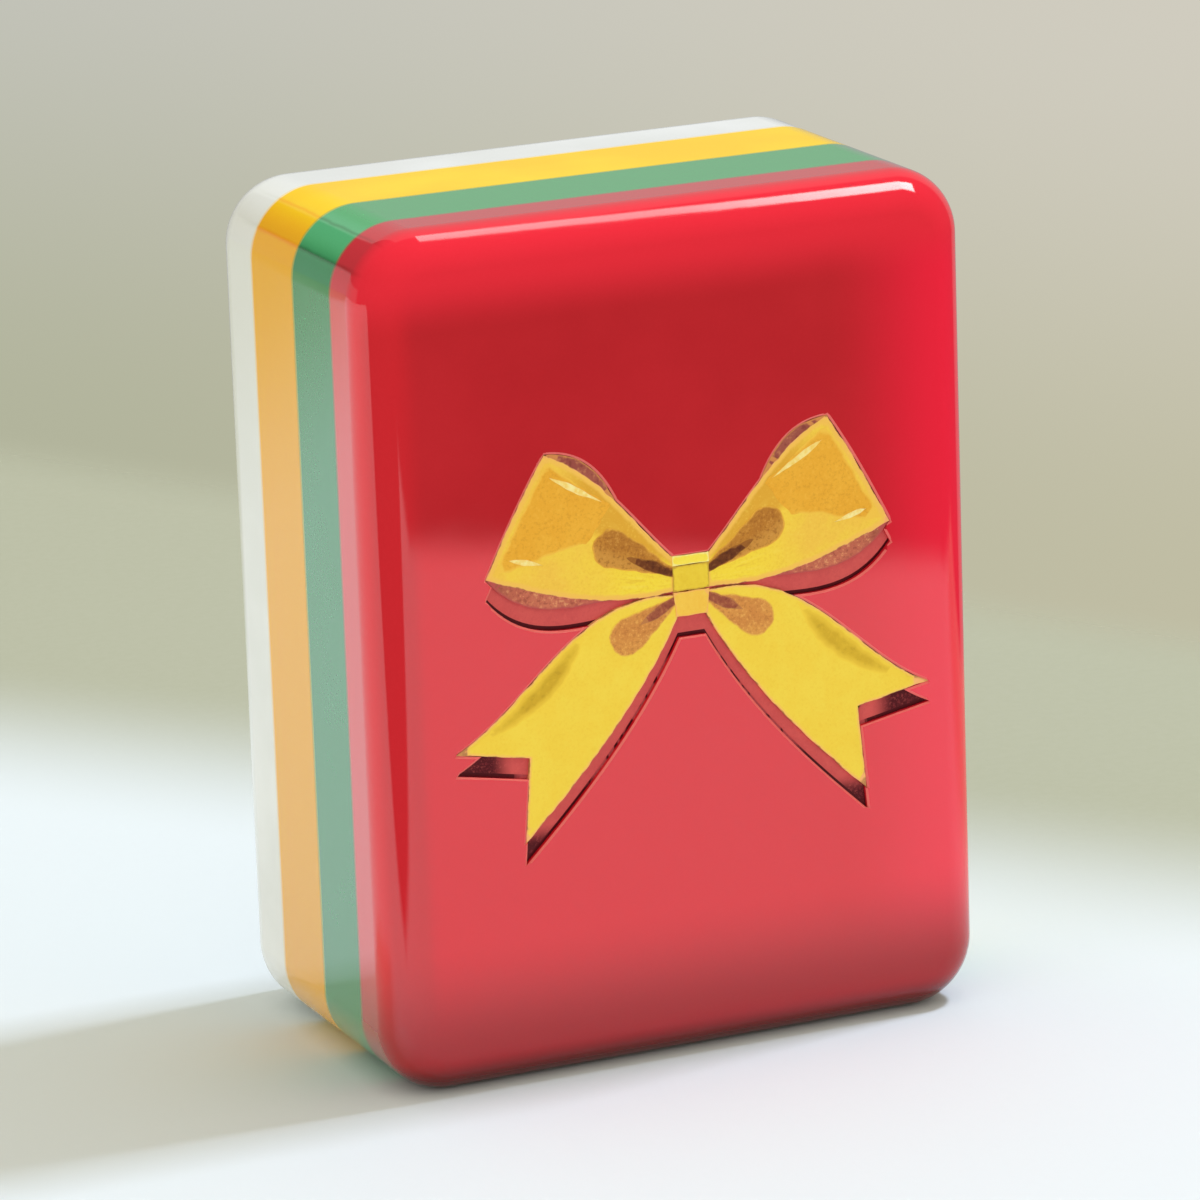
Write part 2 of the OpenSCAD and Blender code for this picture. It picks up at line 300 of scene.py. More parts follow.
def red_painted_light_and_shade(x, y, z):
    """Painted light and shade on the red sheet: a painted reflection of the floor on the lower half of the face, a
    painted glow in its lit right and top rims, painted tones on its left rim and left side, a darker top face, and
    painted shade that darkens it toward the foot.
    """
    return [
        ((z + x * 0.164).rise(18.7, 17.1) * x.rise(-10.3, -9.5), (227, 27, 43)),
        (x.rise(5.6, 10.6), (248, 34, 62)),
        (x.rise(-9.2, -10.2), (212, 36, 46)),
        (x.rise(-10.8, -11.2), (238, 32, 44)),
        (z.rise(26.5, 28.5), (240, 43, 60)),
        (z.rise(27, 29) * y.rise(-6.3, -5.5), (216, 36, 50)),
        (z.rise(5.5, 1.6), (168, 8, 20)),
        (z.rise(1.4, 0.4), (96, 2, 8)),
    ]


# Finishes of the bow

def paint(name, main, patch, dark, light, stipple=0.35, size=6.0, edges=(), streaks=0.0, shades=None, ink=0.0,
          edge_start=0.0):
    """Thin opaque paint, dabbed on: soft patches, brush streaks from the knot, fine specks and ragged edge tones."""
    f = new_finish(name)
    place = f.millimetres()
    x, _, z = f.split(place)
    out = abs(x - BOW_X)
    up = z - BOW_Z
    patches = f.noise(place, 0.9, 3.0, 0.6)
    specks = f.noise(place, size, 2.0, 0.65)
    body = f.mix(patches.rise(0.35, 0.65), srgb(*main), srgb(*patch))
    # Tones laid on by place; for the shadow bed and its line these are painted shade
    for mask, tone in shades(f, place, out, up) if shades else ():
        body = f.mix(mask, body, srgb(*tone))
    if streaks:
        turn = out.sum("ARCTAN2", up - 0.1, out)
        reach = (out * out + up * up) ** 0.5
        rays = f.noise(f.joined(turn * 11, reach * 0.7, x * 0.02), 1.0, 3.0, 0.6)
        near_knot = reach.rise(5.0, 0.8) * streaks
        body = f.mix(rays.rise(0.52, 0.68) * near_knot, body, srgb(*dark))
        body = f.mix(rays.rise(0.46, 0.32) * near_knot, body, srgb(*light))
    body = f.mix(specks.rise(0.48, 0.32) * stipple, body, srgb(*dark))
    body = f.mix(specks.rise(0.54, 0.70) * stipple, body, srgb(*light))
    inner = f.add("ShaderNodeAttribute", {"attribute_name": "inner"}, out="Fac")
    ragged = inner + (f.noise(place, 5.0, 2.0, 0.6) - 0.5) * 0.09
    for tone, start, end in edges:
        body = f.mix(ragged.rise(end, start) * out.rise(edge_start - 0.5, edge_start), body, srgb(*tone))
    if ink:
        body = f.mix(ragged.rise(0.03, 0.0) * f.noise(place, 1.7).rise(0.42, 0.58) * ink, body, srgb(128, 62, 30))
    relief = f.bump(specks, 0.22, 0.02 * MM)
    shader = f.add("ShaderNodeBsdfPrincipled", None, {
        "Base Color": body,
        "Roughness": 0.4 + patches * 0.12,
        "Specular IOR Level": 0.2,
        "Normal": relief,
    })
    return f.close(shader)


def loop_shades(f, place, out, up):
    above_hollow = (up - out * 0.51 - 0.5).rise(-0.15, 0.3) * out.rise(5.0, 3.6)
    return [(out.rise(4.6, 1.8), (252, 222, 62)), (above_hollow, (231, 172, 52))]


def hollow_shades(f, place, out, up):
    return [((up - out * 0.5 - 0.25).rise(0.2, -0.3) * 0.6, (218, 158, 70))]


def underside_shades(f, place, out, up):
    return [(out.rise(4.4, 3.0), (196, 84, 84)), (out.rise(6.4, 7.3) * 0.6, (150, 80, 62))]


def bed_painted_shade(f, place, out, up):
    # Painted shade: the bed is painted dark in the narrow points under the tails' tips
    end_point = out.rise(6.7, 7.6) * up.rise(-4.2, -4.7)
    low_point = up.rise(-7.5, -8.2) * out.rise(4.6, 5.2)
    return [(end_point.most(low_point), (84, 4, 18))]


def line_shadow_gaps(f, place, out, up):
    # The painted shadow line is broken into dashes along the tails, but not under the loops or at the points
    below_loops = up.rise(-2.6, -2.2)
    points = up.rise(-5.9, -6.6).most(out.rise(6.4, 7.0))
    broken = f.noise(f.turned(place, turn=0.7, stretch=(1.6, 1, 0.6)), 1.8, 2.0, 0.6).rise(0.57, 0.5)
    return [(broken * (1 - below_loops.most(points)), (188, 76, 82))]


# Modelling

def clear_selection():
    if bpy.context.object and bpy.context.object.mode != "OBJECT":
        bpy.ops.object.mode_set(mode="OBJECT")
    bpy.ops.object.select_all(action="DESELECT")


def only(piece):
    clear_selection()
    piece.select_set(True)
    bpy.context.view_layer.objects.active = piece
    return piece


def pick_edges(piece, wanted):
    """Selects the edges that pass a test, and leaves edit mode on for edges."""
    only(piece)
    bpy.ops.object.mode_set(mode="EDIT")
    bpy.ops.mesh.select_mode(type="EDGE")
    bpy.ops.mesh.select_all(action="DESELECT")
    bpy.ops.object.mode_set(mode="OBJECT")
    mesh = piece.data
    for edge in mesh.edges:
        edge.select = wanted(*(mesh.vertices[i].co / MM for i in edge.vertices))
    bpy.ops.object.mode_set(mode="EDIT")


def near(a, b, slack=1e-3):
    return abs(a - b) < slack


def tile_block():
    """The whole block with its four corners and its two rims rounded."""
    clear_selection()
    bpy.ops.mesh.primitive_cube_add(size=1, location=(0, 0, TILE_H / 2 * MM))
    block = bpy.context.object
    block.scale = (TILE_W * MM, TILE_T * MM, TILE_H * MM)
    bpy.ops.object.transform_apply(location=True, rotation=False, scale=True)
    pick_edges(block, lambda a, b: not near(a.y, b.y))
    bpy.ops.mesh.bevel(offset=CORNER_R * MM, segments=CORNER_STEPS, affect="EDGES", clamp_overlap=False)
    bpy.ops.object.mode_set(mode="OBJECT")
    for rim_y, radius in ((FRONT_Y, FACE_EDGE_R), (BACK_Y, BACK_EDGE_R)):
        pick_edges(block, lambda a, b: near(a.y, rim_y) and near(b.y, rim_y))
        bpy.ops.mesh.bevel(offset=radius * MM, segments=EDGE_STEPS, affect="EDGES", clamp_overlap=False)
        bpy.ops.object.mode_set(mode="OBJECT")
    return block


def smooth(piece):
    """Rounded faces shaded smooth and flat ones kept flat."""
    only(piece)
    bpy.ops.object.shade_smooth_by_angle(angle=SMOOTH_ANGLE)
    modifier = piece.modifiers.new("normals", "WEIGHTED_NORMAL")
    modifier.keep_sharp = True
    bpy.ops.object.modifier_apply(modifier=modifier.name)


def sheet(block, name, from_y, to_y):
    """One sheet cut out of a copy of the block."""
    only(block)
    bpy.ops.object.duplicate()
    piece = bpy.context.object
    piece.name = piece.data.name = name
    bpy.ops.object.mode_set(mode="EDIT")
    for cut_y, keep_back in ((from_y, True), (to_y, False)):
        if near(abs(cut_y), TILE_T / 2):
            continue
        bpy.ops.mesh.select_all(action="SELECT")
        bpy.ops.mesh.bisect(
            plane_co=(0, cut_y * MM, 0), plane_no=(0, 1, 0), use_fill=True,
            clear_inner=keep_back, clear_outer=not keep_back)
    bpy.ops.mesh.select_all(action="SELECT")
    bpy.ops.mesh.normals_make_consistent(inside=False)
    bpy.ops.object.mode_set(mode="OBJECT")
    return piece


# Outlines of the bow, in millimetres from the knot's middle

def left_of(a, b):
    return Vector((a.y - b.y, b.x - a.x)) / (b - a).length


def along(a, b, swell, t):
    """The point at share t of a curve from a to b that swells to its left early on and later."""
    bulge = 27 / 4 * t * (1 - t) * (swell[0] * (1 - t) + swell[1] * t)
    return a + (b - a) * t + left_of(a, b) * bulge


def swept(a, b, swell, start=0.0, end=1.0):
    return [along(a, b, swell, start + (end - start) * i / CURVE_STEPS) for i in range(CURVE_STEPS)]


def inset_corner(before, corner, after, width):
    u = (before - corner).normalized()
    v = (after - corner).normalized()
    return corner + (u + v).normalized() * 2 * width / (u - v).length


def teardrop(point, length, turn, radius):
    middle = point + length * Vector((math.cos(turn), math.sin(turn)))
    side = math.pi - math.acos(radius / length)
    arc = [turn - side + side * i / CURVE_STEPS for i in range(2 * CURVE_STEPS + 1)]
    return [point] + [middle + radius * Vector((math.cos(a), math.sin(a))) for a in arc]


def stroke(a, b, width):
    return swept(a, b, (width / 4, width / 2)) + swept(b, a, (width / 2, width / 4))


KNOT_X = 0.69
KNOT_LOW_X = 0.6
KNOT_RISE = 1.19
KNOT_FALL = 0.97
KNOT_CREASE = 0.09
KNOT_FOLD_Z = KNOT_RISE - 0.36
LOOP_ROOT_HI = Vector((0.538, 1.05))
LOOP_ROOT_LO = Vector((0.538, -0.06))
LOOP_TIP = Vector((7.58, 1.3))
LOOP_PEAK = Vector((5.28, 5.35))
TAIL_ROOT_HI = Vector((0.538, -0.173))
TAIL_ROOT_LO = Vector((0.448, -0.868))
TAIL_TIP = Vector((8.94, -4.61))
TAIL_NOTCH = Vector((6.2, -5.13))
TAIL_LOW = Vector((6.46, -8.12))
UPPER_SWELL = (0.03, 0.326)
LOOP_END_SWELL = (0.053, 0.03)
LOOP_LOWER_SWELL = (0.205, 0.356)
UNDERSIDE_SWELL = (0.1, -0.9)
BACK_FOLD_SWELL = (0.255, 0.34)
TAIL_OUTER_SWELL = (1.02, -0.08)
TAIL_INNER_SWELL = (0.179, 0.286)
TAIL_SHADE_SWELL = (0.378, 0.63)
TAIL_SHADE_SPAN = (0.36, 0.95)
PANEL_SWELL = (0.1, -0.08)
PANEL_PEAK = inset_corner(LOOP_ROOT_HI, LOOP_PEAK, LOOP_TIP, BORDER_W)
PANEL_TIP = inset_corner(LOOP_PEAK, LOOP_TIP, LOOP_ROOT_LO, BORDER_W)
PANEL_INNER = Vector((3.84, 2.033))
PANEL_UPPER = along(LOOP_ROOT_HI, LOOP_PEAK, UPPER_SWELL, 0.5) - BORDER_W * left_of(LOOP_ROOT_HI, LOOP_PEAK)
LOOP_HOLLOW_ROOT = Vector((0, 0.286))
LOOP_HOLLOW_LENGTH = 3.27
LOOP_HOLLOW_TURN = math.radians(27)
LOOP_CREASE_TURN = math.radians(24.5)
TAIL_HOLLOW_ROOT = Vector((0, -0.0485))
TAIL_HOLLOW_LENGTH = 2.76
TAIL_HOLLOW_TURN = math.radians(-29)
TAIL_CREASE_TURN = math.radians(-27)
HOLLOW_R = 0.7
CREASE_W = 0.32
CREASE_SHARE = 0.8
UPPER_GLINT_W = 0.19
LOWER_GLINT_W = 0.17


def loop_outline():
    return (swept(LOOP_ROOT_HI, LOOP_PEAK, UPPER_SWELL) + swept(LOOP_PEAK, LOOP_TIP, LOOP_END_SWELL)
            + swept(LOOP_TIP, LOOP_ROOT_LO, LOOP_LOWER_SWELL) + [LOOP_ROOT_LO])


def underside_outline():
    return swept(TAIL_ROOT_HI, LOOP_TIP, UNDERSIDE_SWELL) + [LOOP_TIP, LOOP_ROOT_LO]


def back_fold_outline():
    start = along(LOOP_ROOT_HI, LOOP_PEAK, UPPER_SWELL, 0.5)
    return swept(start, LOOP_PEAK, BACK_FOLD_SWELL) + [LOOP_PEAK]


def tail_outline():
    return (swept(TAIL_ROOT_HI, TAIL_TIP, TAIL_OUTER_SWELL) + [TAIL_TIP, TAIL_NOTCH]
            + swept(TAIL_LOW, TAIL_ROOT_LO, TAIL_INNER_SWELL) + [TAIL_ROOT_LO])


def knot_outline():
    return [Vector(p) for p in (
        (-KNOT_X, KNOT_RISE), (KNOT_X, KNOT_RISE), (KNOT_X, -KNOT_CREASE),
        (KNOT_LOW_X, -KNOT_FALL), (-KNOT_LOW_X, -KNOT_FALL), (-KNOT_X, -KNOT_CREASE))]


def panel_outline():
    return [PANEL_PEAK] + swept(PANEL_TIP, PANEL_INNER, PANEL_SWELL) + [PANEL_INNER, PANEL_UPPER]


def on_panel(u, v):
    low = PANEL_INNER.lerp(PANEL_TIP, u)
    return low.lerp(PANEL_UPPER.lerp(PANEL_PEAK, u), v)


def tail_shade_outline():
    border = BORDER_W / 2 * left_of(TAIL_ROOT_HI, TAIL_TIP)
    root = TAIL_ROOT_HI - border
    tip = TAIL_TIP - border
    start, end = (along(root, tip, TAIL_OUTER_SWELL, share) for share in TAIL_SHADE_SPAN)
    return swept(root, tip, TAIL_OUTER_SWELL, *TAIL_SHADE_SPAN) + swept(end, start, TAIL_SHADE_SWELL)


def crease_outline(root, length, turn):
    return stroke(root, root + length * CREASE_SHARE * Vector((math.cos(turn), math.sin(turn))), CREASE_W)


def slab(low, high, low_x, high_x):
    """A four-sided outline, symmetric to the bow's middle."""
    return [Vector(p) for p in ((-high_x, high), (high_x, high), (low_x, low), (-low_x, low))]


def clockwise(outline):
    area = sum(a.x * b.y - b.x * a.y for a, b in zip(outline, outline[1:] + outline[:1]))
    return outline if area < 0 else outline[::-1]


def mirrored(outline, side):
    """The outline itself for the right side, and its mirror image for the left."""
    return outline if side == "right" else [Vector((-p.x, p.y)) for p in reversed(outline)]


def dropped(outline, drop):
    return [Vector((p.x, p.y - drop)) for p in outline]


def hand_cut(outline, inset=0.015, wobble=0.022, seed=0.0):
    """The outline as a hand leaves it: a little inside the true one, and not quite steady."""
    outline = clockwise(outline)
    points = []
    for a, b in zip(outline, outline[1:] + outline[:1]):
        steps = max(1, round((b - a).length / HAND_STEP))
        points += [a.lerp(b, i / steps) for i in range(steps)]
    result = []
    for i, point in enumerate(points):
        outward = left_of(points[i - 1], points[(i + 1) % len(points)])
        sway = noise.noise(Vector((point.x * HAND_WAVES, point.y * HAND_WAVES, seed))) * wobble
        result.append(point + outward * (sway - inset))
    return result


def on_face(point, depth):
    """The place in metres of a point of the bow, at a depth below the face."""
    return Vector((BOW_X + point.x, FRONT_Y + depth, BOW_Z + point.y)) * MM


def prism(name, outline, top, floor, flare=0.0):
    """A closed solid between two depths below the face, which widens above the depth of the flare."""
    clear_selection()
    outline = clockwise(outline)
    bpy.ops.mesh.primitive_circle_add(vertices=len(outline), radius=MM, fill_type="NGON")
    piece = bpy.context.object
    piece.name = piece.data.name = name
    for vertex, point in zip(piece.data.vertices, outline):
        vertex.co = on_face(point, floor)
    order = {(v.co.x, v.co.z): i for i, v in enumerate(piece.data.vertices)}
    bpy.ops.object.mode_set(mode="EDIT")
    bpy.ops.mesh.select_all(action="SELECT")
    for low, high in ((floor, flare), (flare, top)) if flare else ((floor, top),):
        bpy.ops.mesh.extrude_region_move(TRANSFORM_OT_translate={"value": (0, (high - low) * MM, 0)})
    bpy.ops.object.mode_set(mode="OBJECT")
    if flare:
        for vertex in piece.data.vertices:
            if near(vertex.co.y / MM, FRONT_Y + top):
                i = order[vertex.co.x, vertex.co.z]
                outward = left_of(outline[i - 1], outline[(i + 1) % len(outline)])
                vertex.co = on_face(outline[i] + outward * (flare - top) * FLARE, top)
    bpy.ops.object.mode_set(mode="EDIT")
    bpy.ops.mesh.select_all(action="SELECT")
    bpy.ops.mesh.normals_make_consistent(inside=False)
    bpy.ops.object.mode_set(mode="OBJECT")
    return piece


def rim_ends(piece, depth):
    """The ends of the edges between a solid's walls and its flat side at one depth, as pairs of (x, z) in metres."""
    mesh = piece.data
    pairs = []
    for face in mesh.polygons:
        if abs(face.normal.y) < 0.5:
            for a, b in face.edge_keys:
                ends = mesh.vertices[a].co, mesh.vertices[b].co
                if all(near(end.y / MM, FRONT_Y + depth) for end in ends):
                    pairs.append([(end.x, end.z) for end in ends])
    return np.array(pairs)


def measured(piece, top, grid=0.25):
    """Divides a solid into a fine grid and notes how far each of its points lies from the outline."""
    pairs = rim_ends(piece, top)
    only(piece)
    bpy.ops.object.mode_set(mode="EDIT")
    low = pairs.reshape(-1, 2).min(axis=0)
    high = pairs.reshape(-1, 2).max(axis=0)
    for axis, (start, end) in zip((0, 2), zip(low, high)):
        plane = [0, 0, 0]
        plane[axis] = 1
        for cut in np.arange(start + grid * MM * 0.43, end, grid * MM):
            bpy.ops.mesh.select_all(action="SELECT")
            bpy.ops.mesh.bisect(plane_co=[cut * p for p in plane], plane_no=plane)
    bpy.ops.object.mode_set(mode="OBJECT")
    points = np.array([(v.co.x, v.co.z) for v in piece.data.vertices])
    starts = pairs[:, 0]
    ways = pairs[:, 1] - starts
    lengths = np.maximum((ways ** 2).sum(axis=1), 1e-16)
    nearest = []
    for some in np.array_split(points, 1 + len(points) // 1500):
        gap = some[:, None] - starts[None]
        share = np.clip((gap * ways[None]).sum(axis=2) / lengths, 0, 1)
        nearest.append(np.linalg.norm(gap - share[..., None] * ways[None], axis=2).min(axis=1))
    note = piece.data.attributes.new("inner", "FLOAT", "POINT")
    note.data.foreach_set("value", (np.concatenate(nearest) / MM).astype(np.float32))
    return piece


def combine(piece, other, operation):
    """Adds one solid to another, or takes it away."""
    only(piece)
    modifier = piece.modifiers.new("combine", "BOOLEAN")
    modifier.operation = operation
    modifier.solver = "MANIFOLD"
    modifier.object = other
    bpy.ops.object.modifier_apply(modifier=modifier.name)
    bpy.data.objects.remove(other)
    return piece


def bow_outlines(drop=0.0):
    """All the outlines that make up the bow's whole shape."""
    shapes = [knot_outline()]
    for side in ("left", "right"):
        for shape in (loop_outline(), underside_outline(), back_fold_outline(), tail_outline()):
            shapes.append(mirrored(shape, side))
    return [dropped(shape, drop) for shape in shapes]


def whole_bow(name, drops, top, floor, flare=0.0):
    """The bow's whole shape as one solid, at one or more drops below the bow."""
    shapes = [shape for drop in drops for shape in bow_outlines(drop)]
    piece = prism(name, shapes[0], top, floor, flare)
    for shape in shapes[1:]:
        combine(piece, prism("part_of_bow", shape, top, floor, flare), "UNION")
    return piece


def mark_rim(piece):
    """Notes which faces belong to the pocket's sloped rim."""
    rim = [float(0.3 < -face.normal.y < 0.97 and abs(face.center.x) < 10.0 * MM
                 and 6.0 * MM < face.center.z < 24.0 * MM) for face in piece.data.polygons]
    piece.data.attributes.new("rim", "FLOAT", "FACE").data.foreach_set("value", rim)


def settle(piece, slot, finish, *nodes):
    """Gives a finished piece its place in the model and its finish."""
    piece.data.materials.clear()
    piece.data.materials.append(finish)
    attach(piece, "root")
    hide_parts(*nodes)


def inlay(node, slot, finish, outline, top, seed=0.0, wobble=0.022, grid=0.25):
    """One paint fill of the bow."""
    piece = prism(node + "_fill", hand_cut(outline, seed=seed, wobble=wobble), top, POCKET_DEPTH)
    settle(measured(piece, top, grid), slot, finish, node)


# The tile

white = acrylic("white_acrylic", WHITE, srgb(240, 241, 236), [(YELLOW_BACK_Y, YELLOW)], 0.5, 0.2, 0.2)
yellow = acrylic(
    "yellow_acrylic", YELLOW, srgb(252, 204, 20), [(YELLOW_BACK_Y, WHITE), (GREEN_BACK_Y, GREEN)], 0.1, 0.0, 0.8,
    yellow_painted_shade)
green = acrylic(
    "green_acrylic", GREEN, srgb(32, 142, 80), [(GREEN_BACK_Y, YELLOW), (FACE_BACK_Y, RED)], 0.5, 0.9, 0.9,
    green_painted_light)
red = acrylic("red_acrylic", RED, srgb(191, 32, 41), [(FACE_BACK_Y, GREEN)], 0.5, 0.75, 1.0, red_painted_light_and_shade)

block = tile_block()
back_sheet = sheet(block, "back_sheet", YELLOW_BACK_Y, BACK_Y)
yellow_sheet = sheet(block, "yellow_sheet", GREEN_BACK_Y, YELLOW_BACK_Y)
green_sheet = sheet(block, "green_sheet", FACE_BACK_Y, GREEN_BACK_Y)
face_sheet = sheet(block, "face_sheet", FRONT_Y, FACE_BACK_Y)
bpy.data.objects.remove(block)

combine(face_sheet, whole_bow("pocket", (0.0, SHADOW_DROP), -RIM_R, POCKET_DEPTH, RIM_R), "DIFFERENCE")
mark_rim(face_sheet)
for piece in (back_sheet, yellow_sheet, green_sheet, face_sheet):
    smooth(piece)

settle(back_sheet, "white_acrylic", white, "back_layer")
settle(yellow_sheet, "yellow_acrylic", yellow, "yellow_layer")
settle(green_sheet, "green_acrylic", green, "green_layer")
settle(face_sheet, "red_acrylic", red, "face_layer")

# The bow

BRIGHT = (250, 214, 68)
LOOP_YELLOW = (249, 201, 74)
loop_paint = paint(
    "loop_paint", LOOP_YELLOW, (250, 209, 72), (230, 174, 52), (254, 228, 98), 0.22, 11.0,
    [((250, 198, 88), 0.10, 0.24), ((252, 182, 112), 0.0, 0.06)], 0.5, loop_shades, 0.7)
tail_paint = paint(
    "tail_paint", BRIGHT, (251, 219, 74), (238, 194, 50), (254, 228, 92), 0.22, 11.0,
    [((252, 206, 92), 0.04, 0.12), ((254, 188, 118), 0.0, 0.05)], 0.0, None, 0.6)
amber_paint = paint(
    "amber_paint", (240, 174, 48), (243, 180, 54), (216, 148, 38), (248, 192, 72), 0.4, 9.0,
    [(LOOP_YELLOW, 0.0, 0.12)], edge_start=4.3)
brown_paint = paint(
    "brown_paint", (198, 132, 46), (184, 118, 40), (158, 94, 30), (216, 158, 72), 0.6, 9.0,
    [((238, 178, 64), -0.02, 0.09)], 0.0, hollow_shades)
umber_paint = paint(
    "umber_paint", (104, 50, 18), (118, 60, 22), (80, 34, 10), (150, 90, 40), 0.6, 6.0,
    [((160, 98, 36), 0.0, 0.05)])
cream_paint = paint(
    "cream_paint", (255, 240, 166), (255, 234, 150), (252, 216, 110), (255, 246, 190), 0.3, 8.0,
    [((250, 208, 92), -0.03, 0.02)])
sienna_paint = paint(
    "sienna_paint", (206, 116, 88), (194, 102, 80), (160, 76, 62), (228, 160, 112), 0.7, 8.0,
    [((190, 84, 82), 0.0, 0.1)], 0.0, underside_shades)
russet_paint = paint(
    "russet_paint", (170, 90, 76), (158, 78, 68), (124, 50, 46), (208, 136, 94), 0.6, 5.0,
    [((216, 142, 80), 0.0, 0.07)])
olive_paint = paint(
    "olive_paint", (214, 172, 40), (222, 181, 44), (190, 148, 30), (234, 196, 56), 0.4, 4.0,
    [((238, 198, 58), 0.1, 0.3), (BRIGHT, 0.0, 0.12)])
tan_paint = paint(
    "tan_paint", (224, 154, 74), (214, 140, 68), (190, 114, 56), (240, 184, 98), 0.6, 9.0,
    [((249, 210, 76), -0.02, 0.08)])
chestnut_paint = paint(
    "chestnut_paint", (156, 78, 56), (166, 88, 62), (126, 56, 42), (196, 122, 78), 0.6, 6.0,
    [((196, 126, 72), 0.0, 0.05)])
lemon_paint = paint(
    "lemon_paint", (255, 232, 80), (253, 226, 68), (246, 208, 56), (255, 240, 120), 0.2, 6.0,
    [((255, 242, 150), 0.0, 0.05)])
knot_paint = paint(
    "knot_paint", (242, 210, 58), (238, 202, 52), (226, 184, 46), (250, 222, 86), 0.2, 6.0,
    [((206, 164, 54), 0.0, 0.07)])
knot_low_paint = paint(
    "knot_low_paint", (252, 204, 78), (250, 198, 72), (238, 180, 60), (254, 218, 104), 0.2, 6.0,
    [((253, 190, 104), 0.0, 0.06)])
# Painted shadow under the bow: a dusky rose drop shadow on the pocket's bed, and a dark line where it meets the
# pocket's wall
mauve_paint = paint(
    "mauve_paint", (216, 88, 86), (210, 82, 82), (192, 70, 74), (224, 100, 96), 0.25, 9.0, (), 0.0, bed_painted_shade)
maroon_paint = paint(
    "maroon_paint", (84, 2, 16), (76, 0, 14), (60, 0, 10), (104, 12, 26), 0.25, 5.0, (), 0.0, line_shadow_gaps)

line_bow = whole_bow("shadow_line_fill", (SHADOW_DROP,), LINE_TOP, POCKET_DEPTH)
settle(measured(line_bow, LINE_TOP, 0.4), "maroon_paint", maroon_paint, "shadow_line")
bed_bow = whole_bow("shadow_bed_fill", (SHADOW_DROP - LINE_W,), BED_TOP, POCKET_DEPTH)
settle(measured(bed_bow, BED_TOP, 0.4), "mauve_paint", mauve_paint, "shadow_bed")

for seed, side in enumerate(("left", "right")):
    def fill(name, slot, finish, outline, top, wobble, grid=0.25):
        shape = mirrored(clockwise(outline), side)
        inlay(f"{side}_{name}", slot, finish, shape, top, seed * 3.7, wobble, grid)

    fill("loop_underside", "sienna_paint", sienna_paint, underside_outline(), UNDERSIDE_TOP, 0.022, 0.12)
    fill("loop_back_fold", "russet_paint", russet_paint, back_fold_outline(), UNDERSIDE_TOP, 0.035, 0.08)
    fill("loop", "ribbon_paint", loop_paint, loop_outline(), RIBBON_TOP, 0.035, 0.15)
    fill("loop_panel", "amber_paint", amber_paint, panel_outline(), PANEL_TOP, 0.09)
    loop_hollow = teardrop(LOOP_HOLLOW_ROOT, LOOP_HOLLOW_LENGTH, LOOP_HOLLOW_TURN, HOLLOW_R)
    fill("loop_hollow", "brown_paint", brown_paint, loop_hollow, HOLLOW_TOP, 0.07, 0.12)
    loop_crease = crease_outline(LOOP_HOLLOW_ROOT, LOOP_HOLLOW_LENGTH, LOOP_CREASE_TURN)
    fill("loop_crease", "umber_paint", umber_paint, loop_crease, CREASE_TOP, 0.05, 0.05)
    fill("tail", "ribbon_paint", tail_paint, tail_outline(), RIBBON_TOP, 0.03, 0.15)
    fill("tail_shade", "olive_paint", olive_paint, tail_shade_outline(), PANEL_TOP, 0.07, 0.12)
    tail_hollow = teardrop(TAIL_HOLLOW_ROOT, TAIL_HOLLOW_LENGTH, TAIL_HOLLOW_TURN, HOLLOW_R)
    fill("tail_hollow", "tan_paint", tan_paint, tail_hollow, HOLLOW_TOP, 0.05, 0.12)
    tail_crease = crease_outline(TAIL_HOLLOW_ROOT, TAIL_HOLLOW_LENGTH, TAIL_CREASE_TURN)
    fill("tail_crease", "umber_paint", chestnut_paint, tail_crease, CREASE_TOP, 0.04, 0.05)
    upper = stroke(on_panel(0.1, 0.96), on_panel(0.88, 0.91), UPPER_GLINT_W)
    lower = stroke(on_panel(0.42, -0.11), on_panel(0.9, 0.11), LOWER_GLINT_W)
    upper, lower = (hand_cut(mirrored(glint, side), wobble=0.03) for glint in (upper, lower))
    glints = prism(side + "_loop_glints_fill", upper, GLINT_TOP, GLINT_FLOOR)
    combine(glints, prism("stroke", lower, GLINT_TOP, GLINT_FLOOR), "UNION")
    settle(measured(glints, GLINT_TOP, 0.06), "cream_paint", cream_paint, side + "_loop_glints")

knot_upper = slab(KNOT_FOLD_Z, KNOT_RISE, KNOT_X, KNOT_X)
knot_middle = slab(-KNOT_CREASE, KNOT_FOLD_Z, KNOT_X, KNOT_X)
knot_lower = slab(-KNOT_FALL, -KNOT_CREASE, KNOT_LOW_X, KNOT_X)
inlay("knot_upper_fold", "lemon_paint", lemon_paint, knot_upper, KNOT_UPPER_TOP, grid=0.06)
inlay("knot_band", "ribbon_paint", knot_paint, knot_middle, KNOT_BAND_TOP, grid=0.08)
inlay("knot_lower_fold", "amber_paint", knot_low_paint, knot_lower, KNOT_LOWER_TOP, grid=0.08)

# The stage

TO_CAMERA = Vector((-0.4037, -0.9149, 0))
TO_RIGHT = Vector((0.9149, -0.4037, 0))
FLOOR_SIZE = 0.6
LAMP_WAY = (0.48, 0.01, 0.88)
LAMP_DISTANCE = 0.5
LAMP_SIZE = 0.06
LAMP_POWER = 1.6
LAMP_COLOUR = (0.71, 0.80, 1.0)


